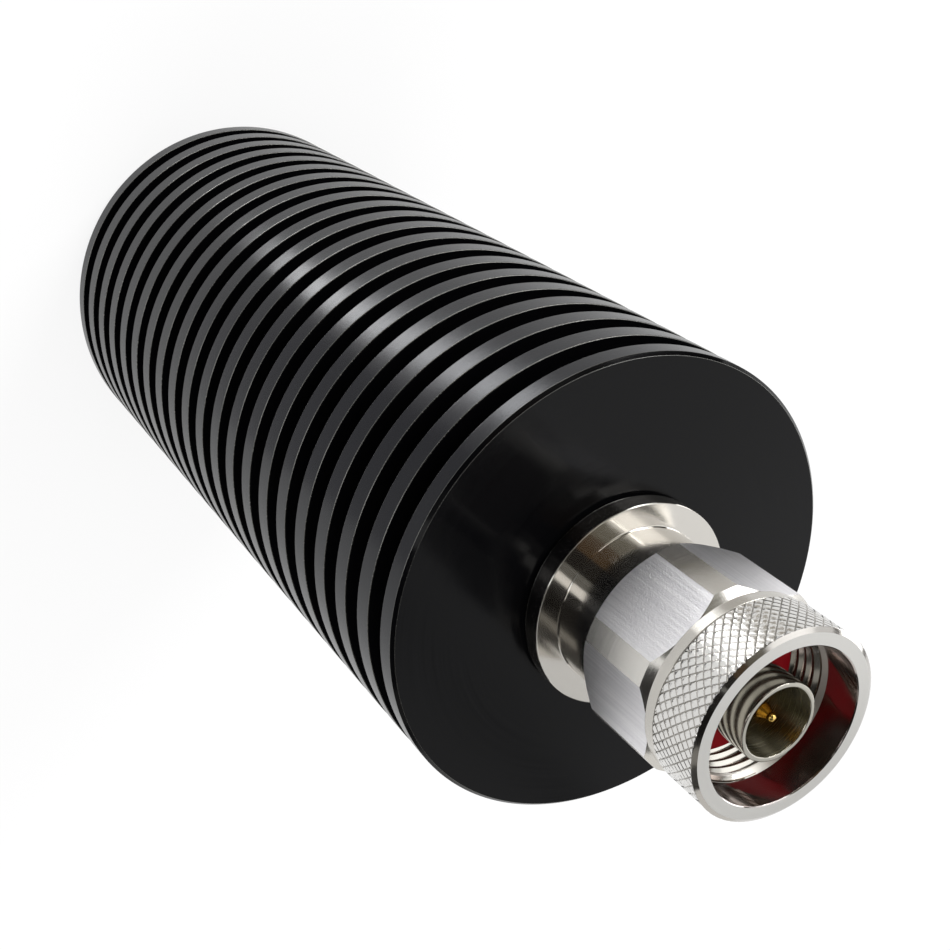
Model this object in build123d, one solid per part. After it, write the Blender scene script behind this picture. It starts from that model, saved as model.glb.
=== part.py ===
from build123d import *
import math
import os

# RF dummy load: a finned heat sink with a coaxial plug on its front end.
# Millimetres. The part stands on its rear fin: the axis is Z, the rear face is
# at Z = 0 and the coupling nut is at the top.

# Heat sink, turned from one bar
fin_count = 21
fin_diameter = 50.0
fin_thickness = 2.4
fin_gap = 2.7
fin_edge = 0.12
end_chamfer = 0.35
core_diameter = 28.0
boss_diameter = 21.2
boss_height = 0.5
boss_edge = 0.1
drill_point = 118.0

# Connector body: flange, neck, barrel and threaded spigot
flange_diameter = 22.0
flange_thickness = 2.0
flange_edge = 0.12
neck_diameter = 17.0
neck_length = 5.3
barrel_diameter = 14.2
barrel_length = 8.2
spigot_diameter = 16.0
spigot_length = 10.5
spigot_chamfer = 0.8
spigot_relief = 0.5
line_bore = 7.0
thread_fit = 0.03

# Seal under the flange
seal_section = 1.1
seal_diameter = 18.8
seal_groove_side = 0.15

# Coupling nut
nut_length = 17.7
nut_end_gap = 0.2
nut_across_flats = 18.7
nut_corner_diameter = 20.3
nut_rest_angle = -7.0
hex_length = 10.45
nut_back_diameter = 18.1
ring_diameter = 19.1
ring_length = 1.15
knurl_diameter = 19.5
knurl_length = 5.7
knurl_edge = 0.3
rim_diameter = 18.4
running_clearance = 0.1
thread_minor = 14.8
thread_major = 15.9
thread_length = 6.0
lead_in_diameter = 16.0
lead_in_depth = 3.9
lead_in_edge = 0.1

# Split ring that keeps the nut on the barrel
snap_ring_thickness = 0.9
snap_ring_inner = 12.8
snap_ring_outer = 15.4
snap_ring_slit = 1.6
snap_ring_place = 2.6
snap_ring_clearance = 0.1

# Outer contact, gasket and the contacts inside
contact_diameter = 8.0
contact_bore = 7.0
contact_reach = 8.8
contact_edge = 0.12
contact_root_diameter = 8.6
contact_root_rise = 0.1
contact_base_diameter = 10.4
contact_base_depth = 3.0
gasket_outer = 14.4
gasket_thickness = 1.6
gasket_fit = 0.05

pin_diameter = 1.65
pin_tip_diameter = 0.8
pin_tip_slope = 25.0
pin_length = 5.0
pin_recess = 0.6
line_conductor = 3.04
front_bead_diameter = 9.2
front_bead_length = 3.0
rear_bead_length = 2.0
bead_fit = 0.02

# Load cartridge inside the core
cartridge_diameter = 14.0
cartridge_fit = 0.05
rod_diameter = 5.0
film_length = 40.0
cap_length = 5.0
cap_wall = 0.3
cap_fit = 0.02
collet_wall = 0.5
collet_flare = 3.0
collet_slot = 0.6
horn_mouth_diameter = 11.5
horn_clearance = 0.8
horn_socket_diameter = 10.0
ground_base = 2.5
load_ohms = 50.0
ohms_per_log = 59.96
taper_points = 6
spring_thickness = 0.5
spring_height = 1.1
spring_inner = 9.0

# Heights worked out from the sizes above
fin_pitch = fin_thickness + fin_gap
sink_length = fin_count * fin_thickness + (fin_count - 1) * fin_gap
seat_z = sink_length + boss_height
flange_z = seat_z + flange_thickness
neck_z = flange_z + neck_length
barrel_z = neck_z + barrel_length
spigot_z = seat_z - spigot_length
nut_z = neck_z + nut_end_gap
hex_top_z = nut_z + hex_length
knurl_z = hex_top_z + ring_length
nut_top_z = nut_z + nut_length
groove_z = neck_z + snap_ring_place
groove_top_z = groove_z + snap_ring_thickness + 2 * snap_ring_clearance
contact_base_z = barrel_z - contact_base_depth
contact_root_z = barrel_z + gasket_thickness + contact_root_rise
contact_top_z = barrel_z + contact_reach
bead_z = contact_base_z - front_bead_length
pin_top_z = contact_top_z - pin_recess
shoulder_z = pin_top_z - pin_length
collet_z = spigot_z - collet_flare
rod_top_z = collet_z - cap_wall
film_top_z = collet_z - cap_length
film_bottom_z = film_top_z - film_length
cap_bottom_z = film_bottom_z - cap_length
rod_bottom_z = cap_bottom_z + cap_wall
cartridge_bottom_z = cap_bottom_z - ground_base
bore_bottom_z = cartridge_bottom_z - spring_height

# Radii used by more than one piece
line_radius = line_conductor / 2
bore_radius = line_bore / 2
rod_radius = rod_diameter / 2
cap_inner = rod_radius + cap_fit
cap_outer = cap_inner + cap_wall
collet_inner = cap_outer + cap_fit
collet_outer = collet_inner + collet_wall
cartridge_radius = cartridge_diameter / 2


def turned(points):
    """Solid of revolution about Z from a closed outline of (radius, height) points."""
    return revolve(make_face(outline(points, close=True)), Axis.Z, 360)


def outline(points, close=False):
    """Straight lines through (radius, height) points, in the plane of the axis."""
    return Polyline(*[(radius, 0, height) for radius, height in points], close=close)


def tube(inner, outer, bottom, top):
    """Plain ring from two radii and two heights."""
    return turned([(inner, bottom), (outer, bottom), (outer, top), (inner, top)])


def heat_sink():
    """The finned bar with its boss, threaded mouth, cartridge bore and seal groove."""
    rim = fin_diameter / 2
    core = core_diameter / 2
    points = [(0, 0)]
    for index in range(fin_count):
        low = index * fin_pitch
        high = low + fin_thickness
        low_edge = end_chamfer if index == 0 else fin_edge
        high_edge = end_chamfer if index == fin_count - 1 else fin_edge
        if index > 0:
            points.append((core, low))
        points += [(rim - low_edge, low), (rim, low + low_edge)]
        points += [(rim, high - high_edge), (rim - high_edge, high)]
        if index < fin_count - 1:
            points.append((core, high))
    boss = boss_diameter / 2
    points += [(boss, sink_length), (boss, seat_z - boss_edge), (boss - boss_edge, seat_z)]
    mouth = spigot_diameter / 2 + thread_fit
    bore = cartridge_radius + cartridge_fit
    mouth_bottom = spigot_z - spigot_relief
    tip_depth = bore / math.tan(math.radians(drill_point / 2))
    points += [(mouth, seat_z), (mouth, mouth_bottom), (bore, mouth_bottom), (bore, bore_bottom_z)]
    points.append((0, bore_bottom_z - tip_depth))
    middle = seal_diameter / 2
    half_width = seal_section / 2 + seal_groove_side
    groove = tube(middle - half_width, middle + half_width, seat_z - seal_section, seat_z + boss_height)
    return turned(points) - groove


def body_seal():
    """O-ring that the flange presses into the groove of the boss."""
    section = Location((seal_diameter / 2, 0, seat_z - seal_section / 2), (90, 0, 0)) * Circle(seal_section / 2)
    return revolve(section, Axis.Z, 360)


def connector_body():
    """Flange, neck and barrel above the seat, and the threaded spigot below it."""
    flange = flange_diameter / 2
    neck = neck_diameter / 2
    barrel = barrel_diameter / 2
    spigot = spigot_diameter / 2
    socket = contact_base_diameter / 2 + thread_fit
    bead = front_bead_diameter / 2 + bead_fit
    groove = snap_ring_inner / 2 - snap_ring_clearance
    return turned([
        (bore_radius, spigot_z), (spigot - spigot_chamfer, spigot_z), (spigot, spigot_z + spigot_chamfer),
        (spigot, seat_z), (flange - flange_edge, seat_z), (flange, seat_z + flange_edge),
        (flange, flange_z - flange_edge), (flange - flange_edge, flange_z), (neck, flange_z), (neck, neck_z),
        (barrel, neck_z), (barrel, groove_z), (groove, groove_z), (groove, groove_top_z),
        (barrel, groove_top_z), (barrel, barrel_z), (socket, barrel_z), (socket, contact_base_z),
        (bead, contact_base_z), (bead, bead_z), (bore_radius, bead_z),
    ])


def coupling_nut():
    """Hexagon with turned corners, plain ring and knurled band round the turned-out inside."""
    back = nut_back_diameter / 2
    corner = nut_corner_diameter / 2
    flat = nut_across_flats / 2
    plain = ring_diameter / 2
    knurl = knurl_diameter / 2
    rim = rim_diameter / 2
    blank = turned([
        (0, nut_z), (back, nut_z), (corner, nut_z + corner - back),
        (corner, hex_top_z - corner + flat), (flat, hex_top_z), (0, hex_top_z),
    ])
    hexagon = RegularPolygon(flat, 6, major_radius=False, rotation=nut_rest_angle)
    prism = extrude(Pos(0, 0, nut_z) * hexagon, hex_length)
    head = turned([
        (0, hex_top_z), (plain, hex_top_z), (plain, knurl_z), (knurl - knurl_edge, knurl_z),
        (knurl, knurl_z + knurl_edge), (knurl, knurl_z + knurl_length), (rim, nut_top_z), (0, nut_top_z),
    ])
    return (blank & prism) + head - nut_hollow()


def nut_hollow():
    """What is turned out of the nut: rear bore, ring groove, relief, thread and lead-in."""
    bore = barrel_diameter / 2 + running_clearance
    groove = snap_ring_outer / 2 + snap_ring_clearance
    minor = thread_minor / 2
    relief = thread_major / 2
    lead_in = lead_in_diameter / 2
    thread_top = nut_top_z - lead_in_depth
    thread_bottom = thread_top - thread_length
    return turned([
        (0, nut_z), (bore, nut_z), (bore, groove_z), (groove, groove_z), (groove, groove_top_z),
        (bore, groove_top_z), (relief, groove_top_z + relief - bore), (relief, thread_bottom),
        (minor, thread_bottom), (minor, thread_top - lead_in + minor), (lead_in, thread_top),
        (lead_in, nut_top_z - lead_in_edge), (lead_in + lead_in_edge, nut_top_z), (0, nut_top_z),
    ])


def snap_ring():
    """Split ring that holds the nut on the barrel."""
    low = groove_z + snap_ring_clearance
    high = low + snap_ring_thickness
    inner = snap_ring_inner / 2
    outer = snap_ring_outer / 2
    slit = Pos(outer, 0, low + snap_ring_thickness / 2) * Box(outer, snap_ring_slit, 2 * snap_ring_thickness)
    return tube(inner, outer, low, high) - slit


def outer_contact():
    """Plated sleeve with a thicker root, on a base that threads into the body flush with the barrel."""
    base = contact_base_diameter / 2
    root = contact_root_diameter / 2
    sleeve = contact_diameter / 2
    bore = contact_bore / 2
    return turned([
        (bore, contact_base_z), (base, contact_base_z), (base, barrel_z - contact_edge),
        (base - contact_edge, barrel_z), (root, barrel_z), (root, contact_root_z), (sleeve, contact_root_z),
        (sleeve, contact_top_z - contact_edge), (sleeve - contact_edge, contact_top_z),
        (bore + contact_edge, contact_top_z), (bore, contact_top_z - contact_edge),
    ])


def gasket():
    """Silicone ring round the sleeve's root, on the front of the barrel."""
    inner = contact_root_diameter / 2 + gasket_fit
    return tube(inner, gasket_outer / 2, barrel_z, barrel_z + gasket_thickness)


def front_bead():
    """Insulator behind the outer contact, which holds it in the body."""
    return tube(line_radius + bead_fit, front_bead_diameter / 2, bead_z, contact_base_z)


def rear_bead():
    """Insulator at the inner end of the body's bore."""
    return tube(line_radius + bead_fit, bore_radius - bead_fit, spigot_z, spigot_z + rear_bead_length)


def centre_pin():
    """Gold pin on a thicker shank, with a taper that runs smoothly into its round tip."""
    pin = pin_diameter / 2
    tip = pin_tip_diameter / 2
    step = line_radius - pin
    centre_z = pin_top_z - tip
    slope = math.radians(pin_tip_slope)
    middle = (slope + math.pi / 2) / 2
    touch = tip * math.cos(slope)
    touch_z = centre_z + tip * math.sin(slope)
    side = outline([
        (0, pin_top_z), (0, bead_z), (line_radius, bead_z), (line_radius, shoulder_z - step),
        (pin, shoulder_z), (pin, touch_z - (pin - touch) / math.tan(slope)), (touch, touch_z),
    ])
    crown = (tip * math.cos(middle), 0, centre_z + tip * math.sin(middle))
    dome = ThreePointArc((touch, 0, touch_z), crown, (0, 0, pin_top_z))
    return revolve(make_face(side.edges() + dome.edges()), Axis.Z, 360)


def fingers(bottom, top):
    """Cross of thin slabs that slots a collet between two heights."""
    slab = Box(2 * cartridge_radius, collet_slot, top - bottom)
    cross = slab + Rot(0, 0, 90) * slab
    return Pos(0, 0, (bottom + top) / 2) * cross


def inner_conductor():
    """Rod from the pin down to the slotted collet that grips the upper cap."""
    low = collet_z - cap_length
    shape = turned([
        (0, collet_z), (0, bead_z), (line_radius, bead_z), (line_radius, spigot_z),
        (collet_outer, collet_z), (collet_outer, low), (collet_inner, low), (collet_inner, collet_z),
    ])
    return shape - fingers(low, collet_z - cap_wall)


def end_cap(closed_z, open_z):
    """Silvered cup over one end of the resistor rod."""
    wall_z = closed_z + math.copysign(cap_wall, open_z - closed_z)
    return turned([
        (0, closed_z), (cap_outer, closed_z), (cap_outer, open_z), (cap_inner, open_z),
        (cap_inner, wall_z), (0, wall_z),
    ])


def resistor_rod():
    """Ceramic rod that carries the resistive film."""
    return turned([(0, rod_bottom_z), (rod_radius, rod_bottom_z), (rod_radius, rod_top_z), (0, rod_top_z)])


def horn_radius(share):
    """Bore that keeps the line matched where this share of the film is still below."""
    matched = rod_radius * math.exp(load_ohms * share / ohms_per_log)
    return max(matched, rod_radius + horn_clearance)


def matching_horn():
    """Sleeve round the resistor, with a bore that narrows along the film."""
    mouth = horn_mouth_diameter / 2
    socket = horn_socket_diameter / 2
    taper = []
    for index in range(taper_points):
        share = 1 - index / (taper_points - 1)
        taper.append((horn_radius(share), film_bottom_z + share * film_length))
    return turned([
        (cartridge_radius, cartridge_bottom_z), (cartridge_radius, spigot_z), (bore_radius, spigot_z),
        (mouth, collet_z), (mouth, film_top_z), *taper[1:-1], (horn_radius(0), film_bottom_z),
        (socket, film_bottom_z), (socket, cartridge_bottom_z),
    ])


def ground_collet():
    """Slotted cup that holds the lower cap and grounds it to the horn."""
    socket = horn_socket_diameter / 2 - cap_fit
    shape = turned([
        (0, cartridge_bottom_z), (socket, cartridge_bottom_z), (socket, cap_bottom_z), (collet_outer, cap_bottom_z),
        (collet_outer, film_bottom_z - cap_wall), (collet_inner, film_bottom_z - cap_wall),
        (collet_inner, cap_bottom_z), (0, cap_bottom_z),
    ])
    return shape - fingers(cap_bottom_z + cap_wall, film_bottom_z)


def disc_spring():
    """Coned washer under the cartridge, which presses it up to the spigot."""
    outer = cartridge_radius
    inner = spring_inner / 2
    rise = spring_height - spring_thickness
    return turned([
        (outer, bore_bottom_z), (outer, bore_bottom_z + spring_thickness),
        (inner, bore_bottom_z + spring_thickness + rise), (inner, bore_bottom_z + rise),
    ])


pieces = {
    "heat_sink": heat_sink(),
    "body_seal": body_seal(),
    "connector_body": connector_body(),
    "coupling_nut": coupling_nut(),
    "snap_ring": snap_ring(),
    "outer_contact": outer_contact(),
    "gasket": gasket(),
    "front_bead": front_bead(),
    "rear_bead": rear_bead(),
    "centre_pin": centre_pin(),
    "inner_conductor": inner_conductor(),
    "upper_cap": end_cap(collet_z, film_top_z),
    "resistor_rod": resistor_rod(),
    "lower_cap": end_cap(cap_bottom_z, film_bottom_z),
    "matching_horn": matching_horn(),
    "ground_collet": ground_collet(),
    "disc_spring": disc_spring(),
}

os.makedirs("parts", exist_ok=True)
for name, piece in pieces.items():
    export_step(piece, f"parts/{name}.step")
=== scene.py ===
import math

import bmesh
import bpy
from mathutils import Matrix, Vector


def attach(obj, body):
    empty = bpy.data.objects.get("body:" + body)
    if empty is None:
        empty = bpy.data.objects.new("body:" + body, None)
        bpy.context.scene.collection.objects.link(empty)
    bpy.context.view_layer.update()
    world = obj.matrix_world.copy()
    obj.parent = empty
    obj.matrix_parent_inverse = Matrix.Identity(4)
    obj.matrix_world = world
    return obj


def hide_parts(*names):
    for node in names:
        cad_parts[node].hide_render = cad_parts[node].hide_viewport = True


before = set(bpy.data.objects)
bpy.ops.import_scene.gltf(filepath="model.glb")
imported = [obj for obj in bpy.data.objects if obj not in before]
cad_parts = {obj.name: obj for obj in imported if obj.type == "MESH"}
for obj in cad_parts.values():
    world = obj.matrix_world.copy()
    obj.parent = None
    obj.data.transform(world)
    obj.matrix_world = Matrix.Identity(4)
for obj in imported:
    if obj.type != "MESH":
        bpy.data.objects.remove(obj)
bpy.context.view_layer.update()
MM = 0.001

# Sizes in millimetres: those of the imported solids, with finer edges
FINS = 21
FIN_RADIUS = 25.0
FIN_THICKNESS = 2.4
FIN_PITCH = 5.1
FIN_EDGE = 0.08
END_CHAMFER = 0.35
CORE_RADIUS = 14.0
SINK_TOP = 104.4
SEAT_Z = 104.9
BOSS_RADIUS = 10.6
SOCKET_RADIUS = 8.03
SOCKET_Z = 93.9
CARTRIDGE_BORE = 7.05
CARTRIDGE_Z = 30.8
DRILL_TIP_Z = 26.6

FLANGE_RADIUS = 11.0
FLANGE_Z = 106.9
NECK_RADIUS = 8.5
NECK_Z = 112.2
BARREL_RADIUS = 7.1
BARREL_Z = 120.4
SPIGOT_RADIUS = 8.0
SPIGOT_Z = 94.4
SPIGOT_CHAMFER = 0.8
LINE_BORE = 3.5
CONTACT_SEAT_RADIUS = 5.23
CONTACT_Z = 117.4
BEAD_SEAT_RADIUS = 4.62
BEAD_SEAT_Z = 114.4

SLEEVE_RADIUS = 4.0
SLEEVE_TOP = 129.2
SLEEVE_BASE_RADIUS = 5.2
ROOT_RADIUS = 4.3
ROOT_Z = 122.1
GASKET_BORE = 4.35
GASKET_RADIUS = 7.35
GASKET_Z = 122.0

PIN_BASE_RADIUS = 1.52
PIN_SHOULDER_Z = 122.905
PIN_RADIUS = 0.825
PIN_Z = 123.6
PIN_END_RADIUS = 0.8
PIN_TAPER_Z = 127.1
PIN_NECK_RADIUS = 0.36
PIN_NECK_Z = 127.98
PIN_BALL_RADIUS = 0.42
PIN_BALL_Z = 128.18
PIN_TOP = 128.6

NUT_Z = 112.4
NUT_TOP = 130.1
FLAT_RADIUS = 9.35
CORNER_RADIUS = 10.15
NUT_BACK = 9.05
NUT_BORE = 7.2
RING_GROOVE_RADIUS = 7.8
RING_GROOVE_LOW = 114.8
RING_GROOVE_HIGH = 115.9
RELIEF_Z = 116.65
HEX_TOP = 122.85
RING_RADIUS = 9.55
KNURL_Z = 124.0
KNURL_TOP = 129.8
KNURL_RADIUS = 9.75
KNURL_EDGE = 0.3
KNURL_FADE = 0.1
KNURL_CELLS = 58
BAND_SEAT = 9.35
RIM_RADIUS = 9.32
RIM_DEPTH = 0.04
REST_ANGLE = -7.0
LEAD_IN_RADIUS = 8.0
LEAD_IN_EDGE = 0.1
LEAD_SLOPE = 0.8
THREAD_TOP = 126.2
THREAD_BOTTOM = 120.2
THREAD_MINOR = 7.4
THREAD_MAJOR = 7.95
THREAD_PITCH = 1.058


# Meshes

def filleted(corners, steps=3):
    """Outline through (radius, height, fillet) corners, each fillet an arc between two points."""
    margin = 0.03
    points = []
    count = len(corners)
    for index, (radius, height, fillet) in enumerate(corners):
        here = Vector((radius, height))
        before = Vector(corners[index - 1][:2]) - here
        after = Vector(corners[(index + 1) % count][:2]) - here
        if fillet == 0 or before.length < 1e-6 or after.length < 1e-6:
            points.append((radius, height))
            continue
        before.normalize()
        after.normalize()
        half = before.angle(after) / 2
        if abs(math.sin(half)) < 1e-3 or abs(math.cos(half)) < 1e-3:
            points.append((radius, height))
            continue
        reach = fillet / math.tan(half)
        centre = here + (before + after).normalized() * (fillet / math.sin(half))
        start = here + before * reach - centre
        turn = start.angle_signed(here + after * reach - centre)
        points.append(tuple(here + before * (reach + margin)))
        for step in range(steps + 1):
            spoke = start.copy()
            spoke.rotate(Matrix.Rotation(-turn * step / steps, 2))
            points.append(tuple(centre + spoke))
        points.append(tuple(here + after * (reach + margin)))
    return points


def turned_point(radius, turn, height):
    """Point in metres at a radius, an angle about Z and a height."""
    return radius * MM * math.cos(turn), radius * MM * math.sin(turn), height * MM


def lathe(outline, angles):
    """Vertices and faces of a closed outline of (radius, height) points turned about Z."""
    verts = []
    rows = []
    for radius, height in outline:
        if radius < 1e-6:
            rows.append([len(verts)])
            verts.append((0.0, 0.0, height * MM))
            continue
        rows.append(list(range(len(verts), len(verts) + angles)))
        for step in range(angles):
            verts.append(turned_point(radius, 2 * math.pi * step / angles, height))
    faces = []
    for low, high in zip(rows, rows[1:] + rows[:1]):
        faces += strip(low, high)
    return verts, faces


def strip(low, high):
    """Faces between two rings of vertices, either of which may be one point."""
    count = max(len(low), len(high))
    faces = []
    for step in range(count):
        following = (step + 1) % count
        if len(low) == 1 and len(high) == 1:
            break
        if len(low) == 1:
            faces.append((low[0], high[following], high[step]))
        elif len(high) == 1:
            faces.append((low[step], low[following], high[0]))
        else:
            faces.append((low[step], low[following], high[following], high[step]))
    return faces


def add_piece(name, verts, faces, body, look, replaces=None, sharp=28):
    """A smooth-shaded mesh piece that rides on a body."""
    mesh = bpy.data.meshes.new(name)
    mesh.from_pydata(verts, [], faces)
    mesh.validate()
    clean = bmesh.new()
    clean.from_mesh(mesh)
    bmesh.ops.remove_doubles(clean, verts=clean.verts, dist=1e-7)
    bmesh.ops.recalc_face_normals(clean, faces=clean.faces)
    clean.to_mesh(mesh)
    clean.free()
    mesh.shade_smooth()
    mesh.set_sharp_from_angle(angle=math.radians(sharp))
    mesh.materials.append(look)
    piece = bpy.data.objects.new(name, mesh)
    bpy.context.scene.collection.objects.link(piece)
    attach(piece, body)
    if replaces:
        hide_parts(replaces)
    return piece


# Materials

class Look:
    """A node material with the few node chains that the finishes share."""

    def __init__(self, name, color, roughness, metallic=0.0, anisotropic=0.0, **sockets):
        self.material = bpy.data.materials.new(name)
        self.material.use_nodes = True
        self.tree = self.material.node_tree
        self.shader = self.tree.nodes["Principled BSDF"]
        self.shader.inputs["Base Color"].default_value = (*color, 1)
        self.shader.inputs["Roughness"].default_value = roughness
        self.shader.inputs["Metallic"].default_value = metallic
        for socket, value in sockets.items():
            self.shader.inputs[socket.replace("_", " ")].default_value = value
        if anisotropic:
            self.shader.inputs["Anisotropic"].default_value = anisotropic
            self.shader.inputs["Anisotropic Rotation"].default_value = 0.25
            tangent = self.tree.nodes.new("ShaderNodeTangent")
            tangent.direction_type = "RADIAL"
            tangent.axis = "Z"
            self.link(tangent.outputs[0], self.shader.inputs["Tangent"])

    def link(self, output, socket):
        self.tree.links.new(output, socket)

    def compute(self, operation, first, second=None):
        """Output of a math node; an input is a number or another output."""
        node = self.tree.nodes.new("ShaderNodeMath")
        node.operation = operation
        for socket, value in zip(node.inputs, (first, second)):
            if value is None:
                continue
            if isinstance(value, (int, float)):
                socket.default_value = value
            else:
                self.link(value, socket)
        return node.outputs[0]

    def place(self):
        """Position on the piece, in millimetres."""
        coordinates = self.tree.nodes.new("ShaderNodeTexCoord")
        scale = self.tree.nodes.new("ShaderNodeVectorMath")
        scale.operation = "SCALE"
        scale.inputs["Scale"].default_value = 1 / MM
        self.link(coordinates.outputs["Object"], scale.inputs[0])
        return scale.outputs[0]

    def turned_place(self, fine, around):
        """Vector, and a fourth value, that change fast along the profile and slowly around it."""
        split = self.tree.nodes.new("ShaderNodeSeparateXYZ")
        self.link(self.place(), split.inputs[0])
        x, y, z = split.outputs
        squares = self.compute("MULTIPLY", x, x), self.compute("MULTIPLY", y, y)
        radius = self.compute("SQRT", self.compute("ADD", *squares))
        safe = self.compute("ADD", radius, 0.001)
        join = self.tree.nodes.new("ShaderNodeCombineXYZ")
        for side, socket in zip((x, y), join.inputs):
            self.link(self.compute("MULTIPLY", self.compute("DIVIDE", side, safe), around), socket)
        self.link(self.compute("MULTIPLY", radius, fine), join.inputs[2])
        return join.outputs[0], self.compute("MULTIPLY", z, fine)

    def noise(self, vector, scale, detail=2.0, fourth=None):
        """Output of a noise node, in four dimensions where a fourth value is given."""
        node = self.tree.nodes.new("ShaderNodeTexNoise")
        if fourth is not None:
            node.noise_dimensions = "4D"
            self.link(fourth, node.inputs["W"])
        node.inputs["Scale"].default_value = scale
        node.inputs["Detail"].default_value = detail
        self.link(vector, node.inputs["Vector"])
        return node.outputs["Fac"]

    def spread(self, value, low, high):
        """The value moved from about 0.3..0.7 to low..high."""
        node = self.tree.nodes.new("ShaderNodeMapRange")
        node.inputs["From Min"].default_value = 0.3
        node.inputs["From Max"].default_value = 0.7
        node.inputs["To Min"].default_value = low
        node.inputs["To Max"].default_value = high
        self.link(value, node.inputs["Value"])
        return node.outputs[0]

    def bump(self, height, distance):
        """Bump of a depth in millimetres, on top of any bump before it."""
        node = self.tree.nodes.new("ShaderNodeBump")
        node.inputs["Distance"].default_value = distance * MM
        node.inputs["Strength"].default_value = 1.0
        self.link(height, node.inputs["Height"])
        if self.shader.inputs["Normal"].is_linked:
            self.link(self.shader.inputs["Normal"].links[0].from_socket, node.inputs["Normal"])
        self.link(node.outputs[0], self.shader.inputs["Normal"])

    def tint(self, value, dark, light):
        """Base colour between two colours by the value."""
        node = self.tree.nodes.new("ShaderNodeMix")
        node.data_type = "RGBA"
        self.link(value, node.inputs[0])
        node.inputs[6].default_value = (*dark, 1)
        node.inputs[7].default_value = (*light, 1)
        self.link(node.outputs[2], self.shader.inputs["Base Color"])


def turned_metal(name, color, roughness, anisotropic, marks):
    """Turned finish: fine rings round the axis in the bump, the roughness and the colour."""
    look = Look(name, color, roughness, 1.0, anisotropic)
    vector, fourth = look.turned_place(9.0, 0.8)
    rings = look.noise(vector, 1.0, 3.0, fourth)
    look.bump(rings, marks)
    uneven = look.spread(rings, roughness * 0.85, roughness * 1.15)
    look.link(uneven, look.shader.inputs["Roughness"])
    dark = tuple(channel * 0.93 for channel in color)
    look.tint(rings, dark, color)
    return look.material


def anodised_face():
    """Smooth turned faces: deep black with a radial sheen."""
    look = Look("black_anodised_face", (0.0015, 0.0015, 0.0018), 0.14, 0.0, 0.8, IOR=1.26)
    vector, fourth = look.turned_place(6.0, 1.2)
    rings = look.noise(vector, 1.0, 3.0, fourth)
    look.bump(rings, 0.0004)
    look.link(look.spread(rings, 0.11, 0.17), look.shader.inputs["Roughness"])
    look.tint(rings, (0.001, 0.001, 0.0013), (0.002, 0.002, 0.0025))
    return look.material


def anodised_rim():
    """Satin rims with a fine grain."""
    look = Look("black_anodised_rim", (0.003, 0.003, 0.004), 0.22, 0.0, 0.35, IOR=1.285)
    look.shader.inputs["Specular Tint"].default_value = (0.87, 0.91, 1, 1)
    grain = look.noise(look.place(), 8.0, 2.0)
    vector, fourth = look.turned_place(7.0, 2.0)
    rings = look.noise(vector, 1.0, 2.0, fourth)
    look.bump(grain, 0.006)
    both = look.compute("MULTIPLY", look.compute("ADD", grain, rings), 0.5)
    look.link(look.spread(both, 0.2, 0.26), look.shader.inputs["Roughness"])
    look.tint(grain, (0.002, 0.002, 0.003), (0.004, 0.004, 0.005))
    return look.material


def milled_nickel():
    """Satin flats: fine ripples, and faint scratches along the axis."""
    look = Look("milled_nickel", (0.76, 0.75, 0.77), 0.36, 1.0)
    ripples = look.noise(look.place(), 6.0, 3.0)
    look.bump(ripples, 0.028)
    split = look.tree.nodes.new("ShaderNodeSeparateXYZ")
    look.link(look.place(), split.inputs[0])
    join = look.tree.nodes.new("ShaderNodeCombineXYZ")
    look.link(split.outputs[0], join.inputs[0])
    look.link(split.outputs[1], join.inputs[1])
    look.link(look.compute("MULTIPLY", split.outputs[2], 0.03), join.inputs[2])
    scratches = look.noise(join.outputs[0], 3.5, 4.0)
    look.bump(scratches, 0.028)
    look.link(look.spread(ripples, 0.32, 0.4), look.shader.inputs["Roughness"])
    look.tint(look.spread(scratches, 0.0, 1.0), (0.7, 0.69, 0.71), (0.84, 0.83, 0.84))
    return look.material


def knurled_nickel():
    """Bright nickel of the knurl, slightly uneven."""
    look = Look("knurled_nickel", (0.68, 0.67, 0.65), 0.14, 1.0)
    grain = look.noise(look.place(), 4.0, 2.0)
    look.bump(grain, 0.03)
    look.link(look.spread(grain, 0.09, 0.16), look.shader.inputs["Roughness"])
    look.tint(grain, (0.62, 0.61, 0.59), (0.72, 0.71, 0.69))
    return look.material


def silicone():
    """Matt red silicone."""
    look = Look("red_silicone", (0.46, 0.005, 0.012), 0.45)
    cloud = look.noise(look.place(), 0.8, 3.0)
    look.bump(look.noise(look.place(), 6.0, 2.0), 0.01)
    look.tint(cloud, (0.4, 0.003, 0.01), (0.52, 0.006, 0.015))
    look.link(look.spread(cloud, 0.4, 0.5), look.shader.inputs["Roughness"])
    return look.material


def plain(name, color, roughness, metallic=0.0):
    """Plain finish: a fine grain in colour, roughness and bump."""
    look = Look(name, color, roughness, metallic)
    cloud = look.noise(look.place(), 5.0, 2.0)
    look.bump(cloud, 0.01)
    uneven = look.spread(cloud, roughness * 0.85, roughness * 1.15)
    look.link(uneven, look.shader.inputs["Roughness"])
    look.tint(cloud, tuple(channel * 0.9 for channel in color), color)
    return look.material


# Pieces

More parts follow.
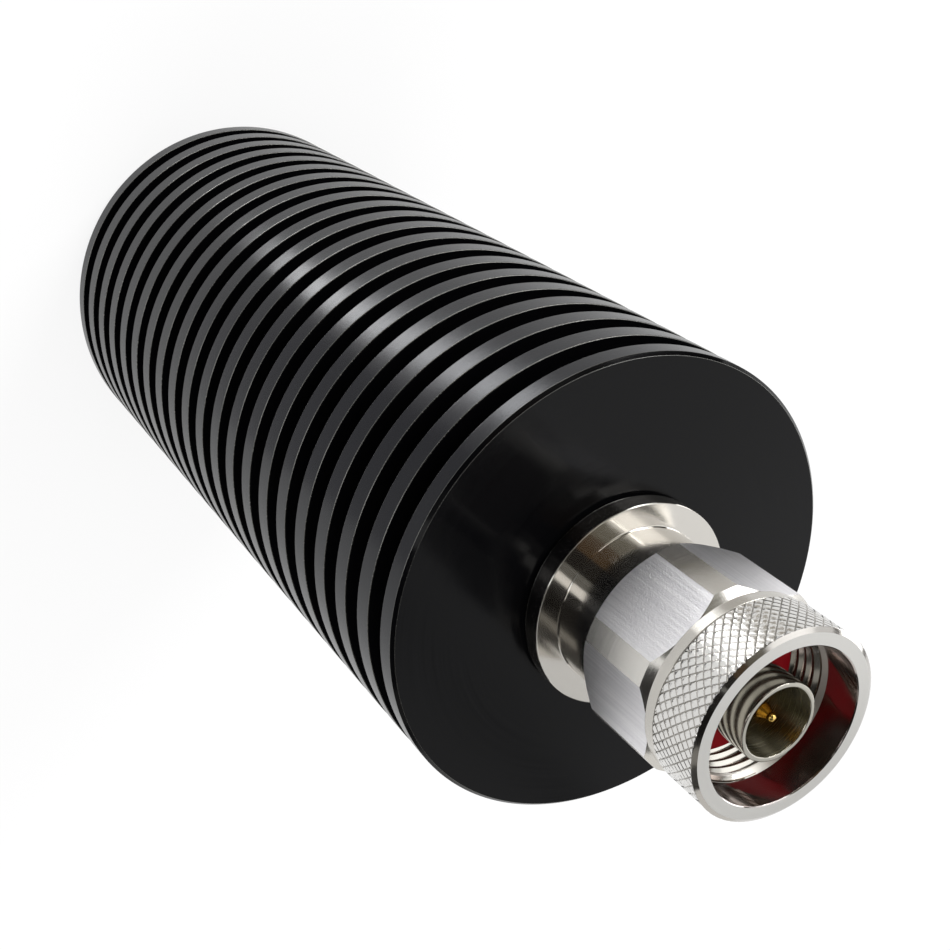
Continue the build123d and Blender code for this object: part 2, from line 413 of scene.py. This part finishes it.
def sink_outline():
    """Fins, boss and hollow core, from the middle of the rear face round to the drill's tip."""
    chamfered = FIN_RADIUS - END_CHAMFER
    corners = [(0, 0, 0)]
    for index in range(FINS):
        low = index * FIN_PITCH
        high = low + FIN_THICKNESS
        if index == 0:
            corners += [(chamfered, low, 0.05), (FIN_RADIUS, low + END_CHAMFER, 0.05)]
        else:
            corners += [(CORE_RADIUS, low, 0), (FIN_RADIUS, low, FIN_EDGE)]
        if index == FINS - 1:
            corners += [(FIN_RADIUS, high - END_CHAMFER, 0.05), (chamfered, high, 0.05)]
        else:
            corners += [(FIN_RADIUS, high, FIN_EDGE), (CORE_RADIUS, high, 0)]
    corners += [
        (BOSS_RADIUS, SINK_TOP, 0.1), (BOSS_RADIUS, SEAT_Z, 0.1), (SOCKET_RADIUS, SEAT_Z, 0),
        (SOCKET_RADIUS, SOCKET_Z, 0), (CARTRIDGE_BORE, SOCKET_Z, 0),
        (CARTRIDGE_BORE, CARTRIDGE_Z, 0), (0, DRILL_TIP_Z, 0),
    ]
    return filleted(corners, 2)


def build_heat_sink():
    """Finned bar with bright-dipped faces, satin rims and worn edges."""
    verts, faces = lathe(sink_outline(), 200)
    fins = add_piece("turned_fins", verts, faces, "load_body", anodised_face(),
                     "heat_sink", 50)
    fins.data.materials.append(anodised_rim())
    fins.data.materials.append(plain("worn_edge", (0.17, 0.17, 0.16), 0.25, 1.0))
    rim, edge = 1, 2
    for face in fins.data.polygons:
        tilt = abs(face.normal.z)
        depth = FIN_RADIUS - face.center.xy.length / MM
        if depth < 0.05 and tilt < 0.05:
            face.material_index = rim
        elif depth < 0.5 and 0.05 < tilt < 0.6 or 0.8 < tilt < 0.99:
            face.material_index = edge


def build_body():
    """Spigot, flange, neck and barrel in one turned piece."""
    corners = [
        (LINE_BORE, SPIGOT_Z, 0), (SPIGOT_RADIUS - SPIGOT_CHAMFER, SPIGOT_Z, 0),
        (SPIGOT_RADIUS, SPIGOT_Z + SPIGOT_CHAMFER, 0), (SPIGOT_RADIUS, SEAT_Z, 0),
        (FLANGE_RADIUS, SEAT_Z, 0.12), (FLANGE_RADIUS, FLANGE_Z, 0.12),
        (NECK_RADIUS, FLANGE_Z, 0.15), (NECK_RADIUS, NECK_Z, 0.15),
        (BARREL_RADIUS, NECK_Z, 0), (BARREL_RADIUS, BARREL_Z, 0.05),
        (CONTACT_SEAT_RADIUS, BARREL_Z, 0), (CONTACT_SEAT_RADIUS, CONTACT_Z, 0),
        (BEAD_SEAT_RADIUS, CONTACT_Z, 0), (BEAD_SEAT_RADIUS, BEAD_SEAT_Z, 0),
        (LINE_BORE, BEAD_SEAT_Z, 0),
    ]
    verts, faces = lathe(filleted(corners), 256)
    look = turned_metal("turned_nickel", (0.7, 0.675, 0.63), 0.11, 1.0, 0.0002)
    add_piece("flanged_body", verts, faces, "load_body", look, "connector_body")


def hexagon_columns():
    """Angles of the nut's columns, each with its angle from the middle of a flat."""
    half = math.acos(FLAT_RADIUS / CORNER_RADIUS)
    gap = math.pi / 3 - 2 * half
    flat_steps = 24
    corner_steps = 8
    columns = []
    for side in range(6):
        middle = math.radians(REST_ANGLE + 30 + 60 * side)
        for step in range(flat_steps):
            off = 2 * half * step / flat_steps
            columns.append((middle - half + off, abs(half - off)))
        for step in range(corner_steps):
            columns.append((middle + half + gap * step / corner_steps, half))
    return columns


def nut_inside():
    """Lead-in, thread's root, relief, split ring's groove and rear bore, from front to rear."""
    return [
        (LEAD_IN_RADIUS + LEAD_IN_EDGE, NUT_TOP, 0.02),
        (LEAD_IN_RADIUS, NUT_TOP - LEAD_IN_EDGE, 0.02),
        (LEAD_IN_RADIUS, THREAD_TOP, 0), (LEAD_IN_RADIUS, THREAD_BOTTOM, 0),
        (THREAD_MAJOR, THREAD_BOTTOM, 0), (THREAD_MAJOR, RELIEF_Z, 0.1),
        (NUT_BORE, RING_GROOVE_HIGH, 0.05), (RING_GROOVE_RADIUS, RING_GROOVE_HIGH, 0),
        (RING_GROOVE_RADIUS, RING_GROOVE_LOW, 0), (NUT_BORE, RING_GROOVE_LOW, 0),
        (NUT_BORE, NUT_Z, 0.1),
    ]


def build_nut():
    """Hexagon, plain ring, rim and bored inside as one closed skin, with the flats milled in."""
    columns = hexagon_columns()
    head = filleted([
        (RING_RADIUS, HEX_TOP, 0.05), (RING_RADIUS, KNURL_Z, 0.08), (BAND_SEAT, KNURL_Z, 0),
        (BAND_SEAT, NUT_TOP - RIM_DEPTH, 0), (RIM_RADIUS, NUT_TOP, 0), *nut_inside(),
    ])
    verts = []
    rows = []

    def ring(points):
        rows.append(list(range(len(verts), len(verts) + len(points))))
        for (turn, _), (radius, height) in zip(columns, points):
            verts.append(turned_point(radius, turn, height))

    outer = [min(CORNER_RADIUS, FLAT_RADIUS / math.cos(off)) for _, off in columns]
    ring([(NUT_BACK, NUT_Z) for _ in columns])
    ring([(radius, NUT_Z + radius - NUT_BACK) for radius in outer])
    ring([(radius, HEX_TOP - radius + FLAT_RADIUS) for radius in outer])
    ring([(FLAT_RADIUS, HEX_TOP) for _ in columns])
    for radius, height in head:
        ring([(radius, height) for _ in columns])
    faces = []
    for low, high in zip(rows, rows[1:] + rows[:1]):
        faces += strip(low, high)
    nut = add_piece("hexagon_nut", verts, faces, "nut", milled_nickel(),
                    "coupling_nut", 12)
    for finish in (
        ("polished_nickel", (0.52, 0.49, 0.47), 0.06, 0.9, 0.0002),
        ("satin_rim", (0.76, 0.75, 0.72), 0.34, 0.3, 0.002),
        ("turned_strips", (0.7, 0.68, 0.64), 0.22, 0.8, 0.0003),
        ("turned_ring", (0.56, 0.54, 0.5), 0.18, 0.9, 0.0003),
        # The lead-in nickel is painted darker and warmer than the rest: painted shade for the
        # shadowed mouth of the nut.
        ("lead_in_painted_shade", (0.55, 0.48, 0.46), 0.12, 1.0, 0.0002),
    ):
        nut.data.materials.append(turned_metal(*finish))
    polished, satin, strips, ring_band, lead_in = range(1, 6)
    for face in nut.data.polygons:
        height = face.center.z / MM
        reach = face.center.xy.length / MM
        if reach < LEAD_IN_RADIUS + 0.02 and height > THREAD_TOP:
            face.material_index = lead_in
        elif reach < LEAD_IN_RADIUS + LEAD_IN_EDGE + 0.02 or height < NUT_Z + 0.001:
            face.material_index = polished
        elif height > KNURL_TOP - 0.2:
            face.material_index = satin if height > NUT_TOP - RIM_DEPTH else polished
        elif height > HEX_TOP + 0.01:
            face.material_index = ring_band
        elif reach > CORNER_RADIUS - 0.03 or abs(face.normal.z) > 0.2:
            face.material_index = strips


def knurl_radius_limit(height):
    """Outline of the knurled band: chamfered at the ring and at the rim."""
    rear = KNURL_RADIUS - KNURL_EDGE + height - KNURL_Z
    slope = (KNURL_RADIUS - RIM_RADIUS) / (NUT_TOP - KNURL_TOP)
    return min(KNURL_RADIUS, rear, KNURL_RADIUS - slope * (height - KNURL_TOP))


def knurl_cell(sheet, turn, height, half_turn, half_height, lean, slant):
    """One domed diamond of groove, shoulder and crown, on a flat sheet of (angle, height, drop)."""
    rims = []
    for reach, drop in ((1.0, 0.2), (0.8, 0.035), (0.5, 0.012)):
        rim = []
        for across, along in ((1, 0), (0, 1), (-1, 0), (0, -1)):
            tip = max(0, (across * lean + along * slant) * reach) if reach < 1 else 0
            side_turn = turn + across * reach * half_turn
            side_height = height + along * reach * half_height
            rim.append(sheet.verts.new((side_turn, side_height, drop + tip)))
        rims.append(rim)
    for outer, inner in zip(rims, rims[1:]):
        for side in range(4):
            other = (side + 1) % 4
            sheet.faces.new((outer[side], outer[other], inner[other], inner[side]))
    sheet.faces.new(rims[-1])


def cut_sheet(sheet, height, **clear):
    """Edge across the sheet at a height, which clears one side of it if told to."""
    bmesh.ops.bisect_plane(
        sheet, geom=sheet.verts[:] + sheet.edges[:] + sheet.faces[:], plane_co=(0, height, 0),
        plane_no=(0, 1, 0), **clear)


def build_knurl():
    """Diamond knurl of slightly uneven cells, rolled from a flat sheet, with a plain cone ahead."""
    step = 2 * math.pi / KNURL_CELLS
    rise = KNURL_RADIUS * step / 2
    uneven = 0.02
    sheet = bmesh.new()
    for row in range(int((NUT_TOP - KNURL_Z) / rise) + 3):
        for column in range(KNURL_CELLS):
            lean = uneven * math.sin(7.3 * row + 3.1 * column)
            slant = uneven * math.sin(4.7 * row + 5.9 * column + 1)
            turn = (column + 0.5 * (row % 2)) * step
            knurl_cell(sheet, turn, KNURL_Z - rise + row * rise, step / 2, rise, lean, slant)
    cut_sheet(sheet, KNURL_Z, clear_inner=True)
    cut_sheet(sheet, KNURL_Z + KNURL_EDGE / 2)
    cut_sheet(sheet, KNURL_Z + KNURL_EDGE)
    cut_sheet(sheet, NUT_TOP, clear_outer=True)
    cut_sheet(sheet, KNURL_TOP - KNURL_FADE)
    cone_steps = 8
    for part in range(cone_steps):
        cut_sheet(sheet, KNURL_TOP + (NUT_TOP - KNURL_TOP) * part / cone_steps)
    least = 0.15
    chamfer_lift = 0.05
    for vert in sheet.verts:
        turn, height, drop = vert.co
        fade = min(1, max(least, (KNURL_TOP - height) / KNURL_FADE))
        limit = knurl_radius_limit(height)
        radius = min(limit, min(KNURL_RADIUS, limit + chamfer_lift) - drop * fade)
        vert.co = turned_point(radius, turn, height)
    bmesh.ops.remove_doubles(sheet, verts=sheet.verts, dist=1e-6)
    bmesh.ops.recalc_face_normals(sheet, faces=sheet.faces)
    mesh = bpy.data.meshes.new("knurl")
    sheet.to_mesh(mesh)
    sheet.free()
    verts = [tuple(vert.co) for vert in mesh.vertices]
    faces = [tuple(face.vertices) for face in mesh.polygons]
    band = add_piece("knurled_band", verts, faces, "nut", knurled_nickel(), sharp=20)
    band.data.materials.append(turned_metal("turned_cone", (0.55, 0.53, 0.5), 0.1, 0.9, 0.0003))
    for face in band.data.polygons:
        height = face.center.z / MM
        if height > KNURL_TOP and face.center.xy.length / MM > knurl_radius_limit(height) - 0.02:
            face.material_index = 1


def thread_profile():
    """Shares of a pitch with their radii: crest, 60 degree flanks with eased corners, root."""
    flank = (THREAD_MAJOR - THREAD_MINOR) * math.tan(math.radians(30)) / THREAD_PITCH
    crest = 0.11
    ease = 0.03
    ends = (crest - ease, crest + ease, crest + flank - ease, crest + flank + ease)
    slope = (THREAD_MAJOR - THREAD_MINOR) / flank
    radii = (THREAD_MINOR, THREAD_MINOR + slope * ease, THREAD_MAJOR - slope * ease, THREAD_MAJOR)
    rising = list(zip(ends, radii))
    falling = [(1 - share, radius) for share, radius in reversed(rising)]
    return [(0, THREAD_MINOR)] + rising + falling


def lead_in_radius(height):
    """Radius of the cone that leads from the lead-in bore into the thread."""
    return LEAD_IN_RADIUS - LEAD_SLOPE * (THREAD_TOP - height)


def build_thread():
    """Helical thread inside the nut, run out at the lead-in and at the relief; its crests and roots
    are painted dark as shade.
    """
    profile = thread_profile()
    per_pitch = len(profile)
    around = 192
    below = 2
    turns = int((THREAD_TOP - THREAD_BOTTOM) / THREAD_PITCH) + 3
    verts = []
    grid = []
    for row in range(turns * per_pitch + 1):
        line = []
        phase, depth = profile[row % per_pitch]
        for column in range(around):
            share = column / around
            height = THREAD_BOTTOM + (row // per_pitch + phase + share - below) * THREAD_PITCH
            height = min(THREAD_TOP, max(THREAD_BOTTOM, height))
            run_out = THREAD_MAJOR - (height - THREAD_BOTTOM)
            radius = max(depth, run_out, lead_in_radius(height))
            line.append(len(verts))
            verts.append(turned_point(radius, 2 * math.pi * share, height))
        grid.append(line)
    faces = []
    for row in range(len(grid) - 1):
        for column in range(around):
            if column + 1 < around:
                low, high = grid[row][column + 1], grid[row + 1][column + 1]
            elif row + 1 + per_pitch < len(grid):
                low, high = grid[row + per_pitch][0], grid[row + 1 + per_pitch][0]
            else:
                continue
            corners = (grid[row][column], low, high, grid[row + 1][column])
            heights = [verts[corner][2] for corner in corners]
            if max(heights) - min(heights) > 1e-7:
                faces.append(corners)
    look = turned_metal("thread_nickel", (0.6, 0.58, 0.53), 0.12, 0.5, 0.0006)
    thread = add_piece("nut_thread", verts, faces, "nut", look, sharp=50)
    # Crests and roots get a dark brown metal: painted shade for the shadowed lines between the
    # ridges.
    thread.data.materials.append(plain("thread_painted_shade", (0.16, 0.13, 0.1), 0.3, 1.0))
    thread.data.materials.append(turned_metal("satin_lead", (0.6, 0.58, 0.54), 0.45, 0.3, 0.002))
    shaded_crest_and_root, lead = 1, 2
    for face in thread.data.polygons:
        radius = face.center.xy.length / MM
        if abs(radius - lead_in_radius(face.center.z / MM)) < 0.02:
            face.material_index = lead
        elif radius < THREAD_MINOR + 0.03 or radius > THREAD_MAJOR - 0.03:
            face.material_index = shaded_crest_and_root


def dome(radius, height, slope, steps):
    """Arc about a centre at a height, from a slope in degrees to just short of the top."""
    turns = [math.radians(slope + (90 - slope) * step / steps) for step in range(steps)]
    return [(radius * math.cos(turn), height + radius * math.sin(turn), 0) for turn in turns]


def build_sleeve():
    """Outer contact: a bright sleeve with a duller reamed bore, whose brass tone is painted darker
    as shade inside the contact.
    """
    corners = [
        (LINE_BORE, CONTACT_Z, 0), (SLEEVE_BASE_RADIUS, CONTACT_Z, 0),
        (SLEEVE_BASE_RADIUS, BARREL_Z, 0.1), (ROOT_RADIUS, BARREL_Z, 0),
        (ROOT_RADIUS, ROOT_Z, 0.04), (SLEEVE_RADIUS, ROOT_Z, 0.04),
        (SLEEVE_RADIUS, SLEEVE_TOP, 0.14), (LINE_BORE, SLEEVE_TOP, 0.12),
    ]
    verts, faces = lathe(filleted(corners, 4), 192)
    look = turned_metal("bright_contact", (0.54, 0.52, 0.46), 0.07, 0.8, 0.0002)
    sleeve = add_piece("outer_sleeve", verts, faces, "load_body", look,
                       "outer_contact")
    # The bore's brass tone is painted darker: painted shade inside the contact.
    sleeve.data.materials.append(turned_metal("reamed_bore_painted_shade", (0.52, 0.48, 0.34), 0.25, 0.9, 0.0001))
    for face in sleeve.data.polygons:
        if face.center.xy.length < (LINE_BORE + 0.02) * MM:
            face.material_index = 1


def build_gasket():
    """Flat ring round the sleeve's root."""
    corners = [(GASKET_BORE, BARREL_Z, 0), (GASKET_RADIUS, BARREL_Z, 0.1),
               (GASKET_RADIUS, GASKET_Z, 0.2), (GASKET_BORE, GASKET_Z, 0.2)]
    verts, faces = lathe(filleted(corners), 160)
    add_piece("gasket_ring", verts, faces, "load_body", silicone(), "gasket")


def build_pin():
    """Centre pin: a shank behind a taper that ends in a small bright ball; the gold of shank and
    taper is painted darker as shade inside the sleeve.
    """
    corners = [
        (0, BEAD_SEAT_Z, 0), (PIN_BASE_RADIUS, BEAD_SEAT_Z, 0),
        (PIN_BASE_RADIUS, PIN_SHOULDER_Z, 0.05), (PIN_RADIUS, PIN_Z, 0.1),
        (PIN_END_RADIUS, PIN_TAPER_Z, 0.3), (PIN_NECK_RADIUS, PIN_NECK_Z, 0.1),
        *dome(PIN_BALL_RADIUS, PIN_BALL_Z, -20, 16), (0, PIN_TOP, 0),
    ]
    verts, faces = lathe(filleted(corners, 6), 96)
    # The shank and taper gold is painted darker than the ball's: painted shade inside the sleeve.
    gold = turned_metal("shaded_gold_plate", (0.5, 0.26, 0.035), 0.14, 0.3, 0.0002)
    pin = add_piece("gold_pin", verts, faces, "load_body", gold, "centre_pin")
    pin.data.materials.append(turned_metal("gold_tip", (0.95, 0.66, 0.2), 0.04, 0.0, 0.0001))
    for face in pin.data.polygons:
        if face.center.z > (PIN_NECK_Z + 0.04) * MM:
            face.material_index = 1


def paint_hidden_nodes():
    """Finishes of the solids inside, which are shown as they are."""
    looks = {
        "body_seal": plain("black_rubber", (0.02, 0.02, 0.02), 0.6),
        "snap_ring": plain("spring_bronze", (0.7, 0.45, 0.25), 0.3, 1.0),
        "front_bead": plain("white_insulator", (0.82, 0.81, 0.78), 0.4),
        "inner_conductor": plain("gilt_rod", (0.9, 0.62, 0.22), 0.2, 1.0),
        "upper_cap": plain("silvered", (0.85, 0.85, 0.83), 0.2, 1.0),
        "resistor_rod": plain("film_on_ceramic", (0.05, 0.048, 0.045), 0.35),
        "matching_horn": plain("turned_brass", (0.72, 0.53, 0.26), 0.25, 1.0),
        "disc_spring": plain("spring_steel", (0.5, 0.5, 0.51), 0.3, 1.0),
    }
    looks["rear_bead"] = looks["front_bead"]
    looks["lower_cap"] = looks["upper_cap"]
    looks["ground_collet"] = looks["snap_ring"]
    for node, look in looks.items():
        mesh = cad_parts[node].data
        mesh.materials.clear()
        mesh.materials.append(look)


# Studio

def show_white(tree, shader, white, output):
    """Lets camera, mirror and transmission rays see a share of white over the shader's light."""
    path = tree.nodes.new("ShaderNodeLightPath")
    either = tree.nodes.new("ShaderNodeMath")
    either.operation = "MAXIMUM"
    tree.links.new(path.outputs["Is Camera Ray"], either.inputs[0])
    tree.links.new(path.outputs["Is Glossy Ray"], either.inputs[1])
    last = tree.nodes.new("ShaderNodeMath")
    last.operation = "MAXIMUM"
    tree.links.new(either.outputs[0], last.inputs[0])
    tree.links.new(path.outputs["Is Transmission Ray"], last.inputs[1])
    share = tree.nodes.new("ShaderNodeMath")
    share.operation = "MULTIPLY"
    share.inputs[1].default_value = white
    tree.links.new(last.outputs[0], share.inputs[0])
    mix = tree.nodes.new("ShaderNodeMixShader")
    emit = tree.nodes.new("ShaderNodeEmission")
    emit.inputs["Color"].default_value = (1, 1, 1, 1)
    emit.inputs["Strength"].default_value = 1.0
    tree.links.new(share.outputs[0], mix.inputs[0])
    tree.links.new(shader, mix.inputs[1])
    tree.links.new(emit.outputs[0], mix.inputs[2])
    tree.links.new(mix.outputs[0], output)


def build_world(level):
    """World that lights at a level and looks plain white."""
    world = bpy.data.worlds.new("studio")
    bpy.context.scene.world = world
    world.use_nodes = True
    tree = world.node_tree
    background = tree.nodes["Background"]
    show_white(tree, background.outputs[0], 1.0, tree.nodes["World Output"].inputs["Surface"])
    background.inputs["Color"].default_value = (1, 1, 1, 1)
    background.inputs["Strength"].default_value = level


def build_floor():
    """White floor just under the part."""
    side = 3
    height = -1e-5
    verts = [(x * side, y * side, height) for x, y in ((-1, -1), (1, -1), (1, 1), (-1, 1))]
    mesh = bpy.data.meshes.new("floor")
    mesh.from_pydata(verts, [], [(0, 1, 2, 3)])
    floor = bpy.data.objects.new("floor", mesh)
    bpy.context.scene.collection.objects.link(floor)
    material = bpy.data.materials.new("pale_floor")
    material.use_nodes = True
    tree = material.node_tree
    shader = tree.nodes["Principled BSDF"]
    shader.inputs["Base Color"].default_value = (0.9, 0.9, 0.9, 1)
    shader.inputs["Roughness"].default_value = 0.9
    show_white(tree, shader.outputs[0], 0.8, tree.nodes["Material Output"].inputs["Surface"])
    mesh.materials.append(material)


def area_light(name, place, size, power):
    """Soft square lamp that points at the part."""
    target = Vector((0, 0, 0.08))
    data = bpy.data.lights.new(name, "AREA")
    data.shape = "RECTANGLE"
    data.size = size
    data.size_y = size
    data.energy = power
    lamp = bpy.data.objects.new(name, data)
    lamp.location = place
    lamp.rotation_euler = (target - Vector(place)).to_track_quat("-Z", "Y").to_euler()
    lamp.visible_camera = False
    bpy.context.scene.collection.objects.link(lamp)


def card(name, verts, faces, color, strength):
    """Card of one plain glow that only mirror rays see."""
    mesh = bpy.data.meshes.new(name)
    mesh.from_pydata(verts, [], faces)
    sheet = bpy.data.objects.new(name, mesh)
    bpy.context.scene.collection.objects.link(sheet)
    material = bpy.data.materials.new(name)
    material.use_nodes = True
    shader = material.node_tree.nodes["Principled BSDF"]
    shader.inputs["Base Color"].default_value = (0, 0, 0, 1)
    shader.inputs["Specular IOR Level"].default_value = 0
    shader.inputs["Emission Color"].default_value = (*color, 1)
    shader.inputs["Emission Strength"].default_value = strength
    mesh.materials.append(material)
    sheet.visible_camera = False
    sheet.visible_diffuse = False
    sheet.visible_shadow = False


def surround_card(name, first, last, low, high, color, strength=1.0, reach=0.5):
    """Part of a dome round the plug: bearings count from the front towards +X, rises from level."""
    centre = 0.12
    verts = []
    faces = []
    columns = max(1, math.ceil((last - first) / 5))
    rows = max(1, math.ceil((high - low) / 5))
    for column in range(columns + 1):
        bearing = math.radians(first + (last - first) * column / columns)
        for row in range(rows + 1):
            rise = math.radians(low + (high - low) * row / rows)
            flat = reach * math.cos(rise)
            verts.append((flat * math.sin(bearing), -flat * math.cos(bearing),
                          centre + reach * math.sin(rise)))
    for column in range(columns):
        for row in range(rows):
            corner = column * (rows + 1) + row
            faces.append((corner, corner + 1, corner + rows + 2, corner + rows + 1))
    card(name, verts, faces, color, strength)


def floor_card(name, outline, height, color, strength=1.0):
    """Card just over the floor, from an outline and a height in millimetres."""
    verts = [(x * MM, y * MM, height * MM) for x, y in outline]
    card(name, verts, [tuple(range(len(verts)))], color, strength)


def build_surround():
    """What the metal mirrors: a dark room with a few lit openings, and a partly lit table."""
    surround_card("front_left", -70, -42, 0, 80, (0.17, 0.16, 0.13))
    surround_card("front_brown", -42, -14, 0, 80, (0.09, 0.06, 0.035))
    surround_card("camera_side", -14, 10, 0, 80, (0.02, 0.018, 0.016))
    surround_card("front_grey", 10, 24, 0, 80, (0.2, 0.2, 0.19))
    surround_card("front_strip", 24, 36, 0, 80, (1, 1, 1), 1.3)
    surround_card("front_cap", 18, 40, 54, 80, (0.015, 0.013, 0.012), 1.0, 0.48)
    surround_card("right_dark", 36, 90, 0, 80, (0.012, 0.011, 0.01))
    surround_card("right_strip", 90, 104, 0, 80, (0.28, 0.27, 0.25))
    surround_card("back_right", 104, 140, 0, 80, (0.04, 0.038, 0.034))
    surround_card("back_lit", 122, 156, -12, 29, (0.85, 0.84, 0.82), 1.0, 0.47)
    surround_card("key_panel", -112, -74, 28, 80, (1, 1, 1), 1.6, 0.48)
    surround_card("front_lamp", -56, -24, 2, 20, (1, 1, 1), 3, 0.48)
    surround_card("right_lamp", 28, 44, 2, 20, (1, 1, 1), 3, 0.48)
    surround_card("rear_lamp", -165, -112, 2, 20, (1, 1, 1), 3, 0.48)
    surround_card("back_grey", 140, 182, 24, 80, (0.72, 0.72, 0.72))
    surround_card("back_strip", 165.5, 168, 28, 80, (0.25, 0.25, 0.25), 1.0, 0.48)
    surround_card("horizon", 140, 290, -2, 24, (0.03, 0.024, 0.018))
    glare = [(-14, -49), (-18, -57), (-29, -71), (-53, -90), (-50, -112),
             (-100, -79), (-74, -71), (-46, -62), (-30, -53), (-23, -45)]
    floor_card("floor_glare", glare, 0.5, (1, 1, 1), 10.5)
    shade = [(-10, -55), (-18, -115), (85, -80), (45, -35)]
    floor_card("floor_shade", shade, 0.3, (0.62, 0.62, 0.65))
    dim = [(-130, -88), (-250, -168), (-300, -10), (-155, -6)]
    floor_card("floor_dim", dim, 0.5, (0.5, 0.47, 0.42))
    far = [(-45, -116), (-150, -550), (-500, -330), (-100, -79)]
    floor_card("far_glare", far, 0.5, (1, 1, 1), 1.8)


def build_camera():
    """Camera fitted to the edges in the photograph, with a lens shift for its crop."""
    data = bpy.data.cameras.new("camera")
    camera = bpy.data.objects.new("camera", data)
    bpy.context.scene.collection.objects.link(camera)
    right = Vector((-0.62268239, 0.61347224, 0.48571438))
    back = Vector((-0.06541033, -0.65937871, 0.74896008))
    up = back.cross(right)
    turn = Matrix((right, up, back)).transposed().to_4x4()
    camera.matrix_world = Matrix.Translation((0, -0.10026855, 0.20290996)) @ turn
    data.sensor_width = 36
    data.lens = 53.3883
    data.shift_x = -0.00566
    data.shift_y = 0.13468
    data.clip_start = 0.001
    bpy.context.scene.camera = camera


build_camera()
build_world(0.8)
build_floor()
area_light("key", (-0.65, -0.035, 0.5), 0.3, 3.5)
area_light("fill", (0.5, 0.2, 0.5), 0.5, 2)
build_surround()
build_heat_sink()
build_body()
build_nut()
build_knurl()
build_thread()
build_sleeve()
build_gasket()
build_pin()
paint_hidden_nodes()

bpy.context.view_layer.update()
bpy.context.scene.view_settings.view_transform = "Standard"
